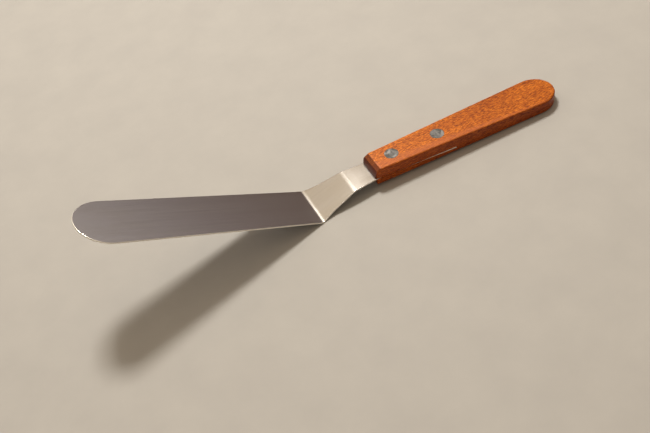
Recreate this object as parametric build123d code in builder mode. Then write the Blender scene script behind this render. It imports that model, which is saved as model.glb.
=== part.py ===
from build123d import *
import os
from math import cos, radians, sin

os.makedirs("parts", exist_ok=True)

# Offset spatula with a wooden handle, lying at rest: the fold at the heel of the
# blade and the underside of the butt touch the ground, the blade points up and away.
# +X runs from the blade tip to the butt, +Y across the blade, +Z up; the origin is
# on the ground at the middle of the overall length.

# Steel: one strip, folded twice
thickness = 0.8
blade_length = 133.0        # fold to tip
tip_width = 33.0
heel_width = 28.4
sole_length = 1.4           # nearly level stretch behind the fold
crank_length = 22.89        # from there to the second bend
crank_width = 23.3          # a third of the way up the crank
neck_width = 17.9           # at the second bend
crown_length = 7.5          # level part of the neck
neck_length = 7.28          # from there down to the handle
waist_width = 14.6          # narrowest, just inside the handle
tang_front = 14.0           # tang at the front, below the wood's surface
tang_length = 49.0          # part hidden in the handle
blade_rise = 27.9           # degrees above the ground
sole_rise = 1.5
crank_rise = 15.4
tang_dip = 2.6
root_length = 4.0           # straight-sided stretch of the blade next to the fold
root_round = 2.0            # beyond it, where the blade's taper runs out
taper_round = 60.0
rim_round = 0.25
heel_round = 5.0            # easing of the outline at the fold
waist_round = 14.0          # the same at the bend
crank_round = 40.0          # hollow of the crank's sides
fold_radius = 1.6           # to the middle of the sheet
crank_radius = 6.0          # sole into crank
bend_radius = 9.0
crown_radius = 100.0

# Wooden handle
handle_length = 118.6
front_width = 15.4
butt_width = 23.1
butt_round = 13.0           # length of the half-oval end
above_tang = 6.5            # top face to the middle of the tang
below_tang = 4.4            # underside to the middle of the tang, at the front
bevel_back = 2.4            # bevel above the front end
bevel_drop = 1.4
nose_reach = 1.3            # bulge of the front end past its bevel
nose_round = 1.6            # upright corners of the front end
edge_round = 1.0
ridge_round = 1.5           # edge between bevel and top face
kerf_end = 49.6             # saw cut that takes the tang

# Two-part cutlery rivets
rivet_stations = (13.1, 42.2)
head_diameter = 7.9
head_height = 1.2
head_gap = 0.1              # around each head, in the wood
tube_diameter = 3.8
tube_reach = 2.5            # tube top above the middle of the tang
pin_diameter = 2.6
pin_reach = 1.2             # pin end below the middle of the tang
bore_diameter = 4.0

# Where the fold, the second bend and the handle's front end lie
heel_x = -19.66
fold_drop = fold_radius * cos(radians((blade_rise - sole_rise) / 2))
heel_z = fold_radius + thickness / 2 - fold_drop / cos(radians((blade_rise + sole_rise) / 2))
tip_x = heel_x - blade_length * cos(radians(blade_rise))
tip_z = heel_z + blade_length * sin(radians(blade_rise))
sole_x = heel_x + sole_length * cos(radians(sole_rise))
sole_z = heel_z + sole_length * sin(radians(sole_rise))
bend_x = sole_x + crank_length * cos(radians(crank_rise))
bend_z = sole_z + crank_length * sin(radians(crank_rise))
crown_x = bend_x + crown_length
front_x = crown_x + neck_length * cos(radians(tang_dip))
front_z = bend_z - neck_length * sin(radians(tang_dip))
root_x = heel_x - root_length * cos(radians(blade_rise))
root_z = heel_z + root_length * sin(radians(blade_rise))
waist_x = front_x + bevel_back
tang_x = front_x + tang_length * cos(radians(tang_dip))
tang_z = front_z - tang_length * sin(radians(tang_dip))

# Underside of the butt reaches the ground
butt_below = (front_z - handle_length * sin(radians(tang_dip))) / cos(radians(tang_dip))
round_start = handle_length - butt_round
nose_middle = (above_tang - bevel_drop - below_tang) / 2

tang_normal = (sin(radians(tang_dip)), 0, cos(radians(tang_dip)))
tang_along = (cos(radians(tang_dip)), 0, -sin(radians(tang_dip)))
blade_normal = (sin(radians(blade_rise)), 0, cos(radians(blade_rise)))
blade_along = (cos(radians(blade_rise)), 0, -sin(radians(blade_rise)))

# Handle plane: X along the tang from the front end, Z out of the top face
handle_plane = Plane(origin=(front_x, 0, front_z), x_dir=tang_along, z_dir=tang_normal)
# Side plane of the handle: X along the tang, Y up
handle_side = Plane(origin=(front_x, 0, front_z), x_dir=tang_along, z_dir=(0, -1, 0))
# Blade plane at the tip: X along the blade toward the heel
tip_plane = Plane(origin=(tip_x, 0, tip_z), x_dir=blade_along, z_dir=blade_normal)


def side_width(station):
    """Width of the handle at a distance from its front end."""
    return front_width + (butt_width - front_width) * station / round_start


def below_at(station):
    """Middle of the tang to the underside at a distance from the front end."""
    return below_tang + (butt_below - below_tang) * station / handle_length


with BuildPart() as strip:
    # Root of the blade, fold, crank, neck and tang: one strip seen from the side
    with BuildSketch(Plane.XZ):
        with BuildLine():
            FilletPolyline(
                (root_x, root_z), (heel_x, heel_z), (sole_x, sole_z),
                (bend_x, bend_z), (crown_x, bend_z), (tang_x, tang_z),
                radius=(fold_radius, crank_radius, bend_radius, crown_radius),
            )
        trace(line_width=thickness)
    extrude(amount=tip_width, both=True)
    # Its plan outline: the crank and neck narrow, the tang widens with the handle
    with BuildSketch(Plane.XY.offset(-1)):
        with BuildLine():
            FilletPolyline(
                (tang_x + 1, 0),
                (tang_x + 1, side_width(tang_length + 1) / 2),
                (waist_x, tang_front / 2),
                (waist_x, waist_width / 2),
                (bend_x, neck_width / 2),
                (heel_x + (bend_x - heel_x) / 3, crank_width / 2),
                (heel_x, heel_width / 2),
                (root_x - 1, heel_width / 2),
                (root_x - 1, 0),
                radius=(0, 0, 0, waist_round, crank_round, heel_round, 0),
            )
            Line((root_x - 1, 0), (tang_x + 1, 0))
        make_face()
        mirror(about=Plane.XZ)
    extrude(amount=tip_z, mode=Mode.INTERSECT)
    outer = strip.edges().filter_by(lambda e: abs(e.center().Y) > waist_width / 2)
    fillet(outer.filter_by(lambda e: e.length > 0.9 and e.center().X < waist_x - 0.1), rim_round)

with BuildPart() as blade:
    # Working blade, widening to the full-round tip
    with BuildSketch(tip_plane.offset(-thickness / 2)):
        with BuildLine():
            CenterArc((tip_width / 2, 0), tip_width / 2, start_angle=90, arc_size=90)
            FilletPolyline(
                (tip_width / 2, tip_width / 2),
                (blade_length - root_length - root_round, heel_width / 2),
                (blade_length - root_length, heel_width / 2),
                (blade_length - root_length, 0),
                (0, 0),
                radius=(taper_round, 0, 0),
            )
        make_face()
        mirror(about=Plane.XZ)
    extrude(amount=thickness)
    flats = blade.faces().filter_by(lambda f: f.area > blade_length * heel_width / 2)
    fillet(flats.edges().filter_by(lambda e: abs(e.length - heel_width) > 0.1), rim_round)
    add(strip.part)
    for station in rivet_stations:
        with BuildSketch(handle_plane.offset(-1)):
            with Locations((station, 0)):
                Circle(bore_diameter / 2)
        extrude(amount=2, mode=Mode.SUBTRACT)

blade.part.label = "blade"
export_step(blade.part, "parts/blade.step")


with BuildPart() as handle:
    # Plan outline with rounded front corners and a half-oval butt
    with BuildSketch(handle_plane.offset(-below_tang)):
        with BuildLine():
            FilletPolyline(
                (-nose_reach - 0.2, 0),
                (-nose_reach - 0.2, side_width(-nose_reach) / 2),
                (round_start, butt_width / 2),
                radius=(nose_round,),
            )
            EllipticalCenterArc(
                (round_start, 0), butt_round, butt_width / 2, start_angle=0, arc_size=90
            )
            Line((handle_length, 0), (-nose_reach - 0.2, 0))
        make_face()
        mirror(about=Plane.XZ)
    extrude(amount=below_tang + above_tang)
    # Side outline: bevel and bulging nose at the front, underside rising to the butt
    with BuildSketch(handle_side):
        with BuildLine():
            FilletPolyline(
                (0, -below_tang),
                (handle_length, -butt_below),
                (handle_length, above_tang),
                (bevel_back, above_tang),
                (0, above_tang - bevel_drop),
                radius=(0, 0, ridge_round),
            )
            ThreePointArc(
                (0, above_tang - bevel_drop), (-nose_reach, nose_middle), (0, -below_tang)
            )
        make_face()
    extrude(amount=butt_width, both=True, mode=Mode.INTERSECT)
    faces = handle.faces().sort_by(Axis((0, 0, 0), tang_normal))
    rims = faces[-1].edges() + faces[0].edges()
    fillet(rims.filter_by(lambda e: e.center().X > front_x + bevel_back + 1), edge_round)
    # Saw cut for the tang
    with BuildSketch(handle_side):
        with Locations((kerf_end / 2 - nose_reach, 0)):
            Rectangle(kerf_end + 2 * nose_reach, thickness)
    extrude(amount=butt_width, both=True, mode=Mode.SUBTRACT)
    # Rivet bores, and recesses for the heads in both faces
    for station in rivet_stations:
        below = below_at(station)
        with BuildSketch(handle_plane.offset(-below - 1)):
            with Locations((station, 0)):
                Circle(bore_diameter / 2)
        extrude(amount=below + above_tang + 2, mode=Mode.SUBTRACT)
        with BuildSketch(handle_plane.offset(above_tang - head_height)):
            with Locations((station, 0)):
                Circle(head_diameter / 2 + head_gap)
        extrude(amount=head_height + 1, mode=Mode.SUBTRACT)
        with BuildSketch(handle_plane.offset(-below + head_height)):
            with Locations((station, 0)):
                Circle(head_diameter / 2 + head_gap)
        extrude(amount=-head_height - 1, mode=Mode.SUBTRACT)
handle.part.label = "handle"
export_step(handle.part, "parts/handle.step")


# Upper half of each rivet: head flush with the top face, solid pin
for name, station in zip(("front", "rear"), rivet_stations):
    with BuildPart() as male:
        with BuildSketch(handle_plane.offset(above_tang - head_height)):
            with Locations((station, 0)):
                Circle(head_diameter / 2)
        extrude(amount=head_height)
        with BuildSketch(handle_plane.offset(-pin_reach)):
            with Locations((station, 0)):
                Circle(pin_diameter / 2)
        extrude(amount=above_tang - head_height + pin_reach)
    male.part.label = name + "_rivet_male"
    export_step(male.part, "parts/" + name + "_rivet_male.step")

    # Lower half: tube around the pin, head ground flush with the sloping underside
    below = below_at(station)
    with BuildPart() as female:
        with BuildSketch(handle_plane.offset(-below + head_height)):
            with Locations((station, 0)):
                Circle(head_diameter / 2)
        extrude(amount=-head_height - 1)
        with BuildSketch(handle_plane.offset(-below + head_height)):
            with Locations((station, 0)):
                Circle(tube_diameter / 2)
        extrude(amount=below - head_height + tube_reach)
        with BuildSketch(handle_plane.offset(-pin_reach)):
            with Locations((station, 0)):
                Circle(pin_diameter / 2)
        extrude(amount=pin_reach + tube_reach, mode=Mode.SUBTRACT)
        with BuildSketch(handle_side):
            with BuildLine():
                Polyline(
                    (0, -below_tang - 3), (0, -below_tang),
                    (handle_length, -butt_below), (handle_length, -below_tang - 3),
                    close=True,
                )
            make_face()
        extrude(amount=butt_width, both=True, mode=Mode.SUBTRACT)
    female.part.label = name + "_rivet_female"
    export_step(female.part, "parts/" + name + "_rivet_female.step")
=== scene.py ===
import math

import bpy
from mathutils import Matrix, Vector


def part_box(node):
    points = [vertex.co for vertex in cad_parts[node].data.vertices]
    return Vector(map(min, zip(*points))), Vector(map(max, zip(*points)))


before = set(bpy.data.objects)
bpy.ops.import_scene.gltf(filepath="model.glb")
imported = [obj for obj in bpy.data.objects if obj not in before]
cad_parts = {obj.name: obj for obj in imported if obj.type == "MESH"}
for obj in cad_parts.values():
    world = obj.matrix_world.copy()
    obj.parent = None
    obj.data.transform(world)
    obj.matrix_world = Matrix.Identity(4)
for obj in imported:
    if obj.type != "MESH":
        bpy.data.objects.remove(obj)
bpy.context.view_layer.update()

MM = 0.001

# Camera: angles in degrees, the point it looks at on the ground, and its lens
VIEW_YAW = 16.36
VIEW_PITCH = 46.99
VIEW_ROLL = 13.64
VIEW_DISTANCE = 527.9 * MM
VIEW_TARGET = Vector((-16.57, -9.96, 0.0)) * MM
LENS = 53.71

# Handle: its lean toward the butt, and the band near one edge that is partly redder wood and
# partly painted sheen
HANDLE_DIP = math.radians(2.6)
BAND_START = 1.4 * MM
BAND_FULL = -0.6 * MM
BAND_SLANT = 10.5 * MM
BAND_WANDER = 3.0 * MM

# Blade: the normal of its faces, and where it ends near the fold
BLADE_RISE = math.radians(27.9)
BLADE_NORMAL = (math.sin(BLADE_RISE), 0, math.cos(BLADE_RISE))
BLADE_END = -22 * MM

FLOOR_SIZE = 3.0
FLOOR_DROP = 0.02 * MM

WARM_WHITE = (1.0, 0.95, 0.87)
LAMP_WHITE = (1.0, 0.93, 0.82)
FILL_WHITE = (1.0, 0.90, 0.76)


class Nodes:
    """Short way to add and join the nodes of one material."""

    def __init__(self, name):
        self.material = bpy.data.materials.new(name)
        self.material.use_nodes = True
        self.tree = self.material.node_tree
        self.shader = self.tree.nodes["Principled BSDF"]

    def add(self, kind, **settings):
        node = self.tree.nodes.new(kind)
        for key, value in settings.items():
            setattr(node, key, value)
        return node

    def join(self, source, target):
        self.tree.links.new(source, target)

    def put(self, value, socket):
        """Give a socket a number, a colour, or another node's output."""
        if isinstance(value, (int, float)):
            socket.default_value = value
        elif isinstance(value, tuple):
            socket.default_value = (*value, 1.0)
        else:
            self.join(value, socket)

    def surface(self, name, value):
        self.put(value, self.shader.inputs[name])

    def place(self, name):
        """Object position or surface normal, in the model's own frame."""
        return self.add("ShaderNodeTexCoord").outputs[name]

    def axes(self, vector):
        node = self.add("ShaderNodeSeparateXYZ")
        self.join(vector, node.inputs["Vector"])
        return node.outputs

    def mapped(self, scale, rotation=(0, 0, 0), location=(0, 0, 0)):
        node = self.add("ShaderNodeMapping")
        node.inputs["Scale"].default_value = scale
        node.inputs["Rotation"].default_value = rotation
        node.inputs["Location"].default_value = location
        self.join(self.place("Object"), node.inputs["Vector"])
        return node.outputs["Vector"]

    def noise(self, vector, detail, rough=0.5, distortion=0.0):
        node = self.add("ShaderNodeTexNoise")
        node.inputs["Scale"].default_value = 1.0
        node.inputs["Detail"].default_value = detail
        node.inputs["Roughness"].default_value = rough
        node.inputs["Distortion"].default_value = distortion
        self.join(vector, node.inputs["Vector"])
        return node.outputs["Fac"]

    def ramp(self, value, *stops):
        """Colours or greys at positions: (position, colour), ..."""
        node = self.add("ShaderNodeValToRGB")
        set_stops(node.color_ramp, stops)
        self.join(value, node.inputs["Fac"])
        return node.outputs["Color"]

    def mix(self, how_much, a, b, blend="MIX"):
        node = self.add("ShaderNodeMix", data_type="RGBA", blend_type=blend)
        for value, name in ((how_much, "Factor"), (a, "A"), (b, "B")):
            self.put(value, next(s for s in node.inputs if s.name == name and s.enabled))
        return next(s for s in node.outputs if s.enabled)

    def multiply(self, a, b):
        return self.mix(1.0, a, b, "MULTIPLY")

    def maths(self, operation, a, b=0.0, clamp=False):
        node = self.add("ShaderNodeMath", operation=operation, use_clamp=clamp)
        self.put(a, node.inputs[0])
        self.put(b, node.inputs[1])
        return node.outputs[0]

    def share(self, value, start, end):
        """How far a value has gone from start to end, kept between 0 and 1."""
        node = self.add("ShaderNodeMapRange")
        node.inputs["From Min"].default_value = start
        node.inputs["From Max"].default_value = end
        self.join(value, node.inputs["Value"])
        return node.outputs["Result"]

    def bump(self, height, distance, strength, normal=None):
        node = self.add("ShaderNodeBump")
        node.inputs["Distance"].default_value = distance
        node.inputs["Strength"].default_value = strength
        self.join(height, node.inputs["Height"])
        if normal is not None:
            self.join(normal, node.inputs["Normal"])
        return node.outputs["Normal"]


def set_stops(ramp, stops):
    """Fill a colour ramp; a single number stands for a grey."""
    while len(ramp.elements) < len(stops):
        ramp.elements.new(0.5)
    for element, (position, colour) in zip(ramp.elements, stops):
        element.position = position
        if not isinstance(colour, tuple):
            colour = (colour, colour, colour)
        element.color = (*colour, 1.0)


def steel_rim(m):
    """1 on the rounded rims and cut edges of the strip, 0 on its faces."""
    normal = m.place("Normal")
    facing = m.add("ShaderNodeVectorMath", operation="DOT_PRODUCT")
    m.join(normal, facing.inputs[0])
    facing.inputs[1].default_value = BLADE_NORMAL
    sideways = m.axes(normal)["Y"]
    blade_rim = m.ramp(m.maths("ABSOLUTE", facing.outputs["Value"]), (0.90, 1.0), (0.99, 0.0))
    strip_rim = m.ramp(m.maths("ABSOLUTE", sideways), (0.2, 0.0), (0.5, 1.0))
    on_blade = m.maths("LESS_THAN", m.axes(m.place("Object"))["X"], BLADE_END)
    return m.mix(on_blade, strip_rim, blade_rim)


def steel_material():
    """Satin spring steel, brushed along the strip, with faint smudges, and a painted
    highlight: rims and cut edges lightened to a cream colour and made rougher.
    """
    m = Nodes("blade_steel")
    streaks = m.noise(m.mapped((14, 1500, 14)), detail=7, rough=0.7)
    hairs = m.noise(m.mapped((60, 7000, 60), location=(3, 1, 2)), detail=3, rough=0.6)
    smudges = m.noise(m.mapped((45, 130, 45), location=(1, 5, 2)), detail=5, rough=0.65)
    rim_highlight_mask = steel_rim(m)
    base = m.ramp(streaks, (0.34, (0.535, 0.52, 0.505)), (0.66, (0.61, 0.595, 0.58)))
    stain = m.ramp(smudges, (0.40, (0.62, 0.605, 0.595)), (0.66, (0.50, 0.475, 0.455)))
    # Painted highlight: the rims and cut edges get a light cream colour
    m.surface("Base Color", m.mix(rim_highlight_mask, m.mix(0.4, base, stain), (0.90, 0.86, 0.78)))
    rough = m.mix(0.5, m.ramp(streaks, (0.3, 0.17), (0.7, 0.23)),
                  m.ramp(smudges, (0.35, 0.17), (0.7, 0.24)))
    m.surface("Roughness", m.mix(rim_highlight_mask, rough, (0.42, 0.42, 0.42)))
    m.surface("Metallic", 1.0)
    m.surface("Anisotropic", 0.3)
    tangent = m.add("ShaderNodeTangent", direction_type="RADIAL", axis="Y")
    m.surface("Tangent", tangent.outputs["Tangent"])
    m.surface("Normal", m.bump(hairs, 0.006 * MM, 0.35, m.bump(streaks, 0.012 * MM, 0.3)))
    return m.material


def wood_material():
    """Oiled orange-brown hardwood: pores and flecks along the grain, a band near one edge that
    is partly redder wood and partly painted sheen, and painted shade on the cut sides and
    front end grain.
    """
    m = Nodes("handle_wood")
    low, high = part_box("handle")
    position = m.axes(m.place("Object"))
    normal = m.axes(m.place("Normal"))
    turn = (0, -HANDLE_DIP, 0)
    broad = m.noise(m.mapped((14, 110, 90), turn), detail=4, rough=0.55, distortion=0.6)
    flecks = m.noise(m.mapped((430, 2300, 2300), turn, (2, 3, 1)),
                     detail=5, rough=0.7, distortion=0.1)
    pores = m.noise(m.mapped((420, 2600, 2600), turn, (7, 1, 4)), detail=2)
    body = m.ramp(flecks, (0.38, (0.20, 0.035, 0.002)), (0.50, (0.50, 0.118, 0.008)),
                  (0.61, (0.80, 0.258, 0.027)))
    tone = m.ramp(broad, (0.32, (0.80, 0.72, 0.70)), (0.68, (1.12, 1.16, 1.15)))
    body = m.multiply(body, tone)
    pore = m.ramp(pores, (0.30, 0.35), (0.42, 1.0))
    body = m.mix(0.85, body, pore, "MULTIPLY")

    # The wood darkens from the front to the butt
    along = m.share(position["X"], low[0], high[0])
    fade = m.ramp(along, (0.0, (1.10, 1.12, 1.15)), (1.0, (0.80, 0.74, 0.66)))
    body = m.multiply(body, fade)

    # A band on the top face beside the near edge, running out toward the butt: partly redder
    # wood, partly painted sheen of the slightly tilted near facet
    across = m.maths("ADD", position["Y"], m.maths("MULTIPLY", along, BAND_SLANT))
    across = m.maths("ADD", across, m.maths("MULTIPLY", broad, BAND_WANDER))
    sheen_band = m.maths("MULTIPLY", m.share(across, BAND_START, BAND_FULL), normal["Z"], clamp=True)
    # Band colour: redder wood with a painted sheen lifting the blue
    red_and_sheen = m.mix(0.6, body, (0.47, 0.128, 0.040))
    body = m.mix(m.maths("MULTIPLY", sheen_band, 0.85), body, red_and_sheen)

    # Painted shade: the cut sides are darkened as if dimly lit, with some deeper edge-grain
    # colour; the front end grain is darker wood, deepened further with painted shade
    side_shade = m.ramp(m.maths("ABSOLUTE", normal["Z"]),
                   (0.35, (0.66, 0.46, 0.32)), (0.9, (1.0, 1.0, 1.0)))
    # Front end grain: darker end-grain colour plus painted shade
    front = m.ramp(m.maths("MULTIPLY", normal["X"], -1.0), (0.22, (1.0, 1.0, 1.0)),
                   (0.46, (0.34, 0.28, 0.22)), (0.85, (0.24, 0.17, 0.11)))
    m.surface("Base Color", m.multiply(m.multiply(body, side_shade), front))
    m.surface("Roughness", m.ramp(flecks, (0.3, 0.42), (0.7, 0.28)))
    m.surface("Specular IOR Level", 0.22)
    height = m.mix(0.5, pore, m.ramp(flecks, (0.35, 0.0), (0.65, 1.0)))
    m.surface("Normal", m.bump(height, 0.05 * MM, 0.6))
    return m.material


def rivet_material():
    """Flush-ground rivet heads: smooth and dark, with dull smears and scratches."""
    m = Nodes("rivet_metal")
    smears = m.noise(m.mapped((420, 300, 420), location=(5, 2, 8)),
                     detail=3, rough=0.55, distortion=0.7)
    scratches = m.noise(m.mapped((700, 5200, 700), (0, 0, 0.5)), detail=3, rough=0.6)
    m.surface("Base Color",
              m.ramp(smears, (0.38, (0.21, 0.23, 0.26)), (0.64, (0.44, 0.46, 0.50))))
    m.surface("Roughness", m.mix(0.4, m.ramp(smears, (0.42, 0.13), (0.68, 0.27)),
                                 m.ramp(scratches, (0.4, 0.13), (0.65, 0.26))))
    m.surface("Metallic", 1.0)
    m.surface("Normal", m.bump(scratches, 0.004 * MM, 0.5))
    return m.material


def floor_material():
    """Plain pale matt surface with a trace of mottling."""
    m = Nodes("floor_pale")
    mottle = m.noise(m.mapped((40, 40, 40)), detail=5, rough=0.6)
    grain = m.noise(m.mapped((900, 900, 900)), detail=3)
    m.surface("Base Color",
              m.ramp(mottle, (0.3, (0.42, 0.405, 0.385)), (0.7, (0.45, 0.435, 0.41))))
    m.surface("Roughness", 0.75)
    m.surface("Normal", m.bump(grain, 0.05 * MM, 0.4))
    return m.material


def paint(node, material):
    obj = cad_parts[node]
    obj.data.materials.clear()
    obj.data.materials.append(material)


def add_floor():
    half = FLOOR_SIZE / 2
    corners = [(-half, -half), (half, -half), (half, half), (-half, half)]
    mesh = bpy.data.meshes.new("floor")
    mesh.from_pydata([(x, y, -FLOOR_DROP) for x, y in corners], [], [(0, 1, 2, 3)])
    mesh.materials.append(floor_material())
    floor = bpy.data.objects.new("floor", mesh)
    bpy.context.collection.objects.link(floor)


def add_light(name, direction, distance, size, power, colour):
    """Soft rectangular light in a direction from the origin, facing it."""
    light = bpy.data.lights.new(name, "AREA")
    light.shape = "RECTANGLE"
    light.size, light.size_y = size
    light.energy = power
    light.color = colour
    obj = bpy.data.objects.new(name, light)
    bpy.context.collection.objects.link(obj)
    toward = Vector(direction).normalized()
    obj.location = toward * distance
    obj.rotation_euler = toward.to_track_quat("Z", "Y").to_euler()


def add_lights():
    add_light("key", (0.10, 0.46, 0.88), 1.2, (0.26, 0.22), 12.6, WARM_WHITE)
    add_light("fill", (-0.35, -0.80, 0.30), 1.4, (0.6, 0.4), 1.2, FILL_WHITE)
    add_light("left", (-0.52, 0.75, 0.42), 1.5, (0.7, 0.9), 2.2, LAMP_WHITE)


def add_world():
    """Soft room light: dim and brown near the ground, warmer and brighter overhead."""
    world = bpy.data.worlds.new("studio")
    bpy.context.scene.world = world
    world.use_nodes = True
    tree = world.node_tree
    background = tree.nodes["Background"]
    direction = tree.nodes.new("ShaderNodeTexCoord")
    parts = tree.nodes.new("ShaderNodeSeparateXYZ")
    tree.links.new(direction.outputs["Generated"], parts.inputs["Vector"])
    height = tree.nodes.new("ShaderNodeValToRGB")
    set_stops(height.color_ramp, (
        (0.12, (0.088, 0.056, 0.042)), (0.25, (0.150, 0.098, 0.070)),
        (0.30, (0.190, 0.137, 0.124)), (0.36, (0.225, 0.186, 0.188)),
        (0.41, (0.51, 0.455, 0.44)), (0.75, (0.70, 0.545, 0.35)), (1.0, (0.75, 0.62, 0.46)),
    ))
    tree.links.new(parts.outputs["Z"], height.inputs["Fac"])
    tree.links.new(height.outputs["Color"], background.inputs["Color"])
    # The side the camera stands on is darker
    front = tree.nodes.new("ShaderNodeMapRange")
    front.inputs["From Min"].default_value = -0.6
    front.inputs["From Max"].default_value = 0.3
    front.inputs["To Min"].default_value = 0.45
    front.inputs["To Max"].default_value = 1.0
    tree.links.new(parts.outputs["Y"], front.inputs["Value"])
    tree.links.new(front.outputs["Result"], background.inputs["Strength"])


def add_camera():
    yaw, pitch, roll = (math.radians(a) for a in (VIEW_YAW, VIEW_PITCH, VIEW_ROLL))
    forward = Vector((math.sin(yaw) * math.cos(pitch), math.cos(yaw) * math.cos(pitch),
                      -math.sin(pitch)))
    level = Vector((math.cos(yaw), -math.sin(yaw), 0))
    down = forward.cross(level)
    right = math.cos(roll) * level + math.sin(roll) * down
    up = math.sin(roll) * level - math.cos(roll) * down
    data = bpy.data.cameras.new("camera")
    data.sensor_width = 36
    data.lens = LENS
    camera = bpy.data.objects.new("camera", data)
    bpy.context.collection.objects.link(camera)
    axes = Matrix((right, up, -forward)).transposed().to_4x4()
    camera.matrix_world = Matrix.Translation(VIEW_TARGET - forward * VIEW_DISTANCE) @ axes
    bpy.context.scene.camera = camera


def set_colours():
    view = bpy.context.scene.view_settings
    view.view_transform = "Standard"
    view.look = "None"


paint("blade", steel_material())
paint("handle", wood_material())
rivet_metal = rivet_material()
for station in ("front", "rear"):
    for half in ("male", "female"):
        paint(f"{station}_rivet_{half}", rivet_metal)

add_floor()
add_world()
add_lights()
add_camera()
set_colours()
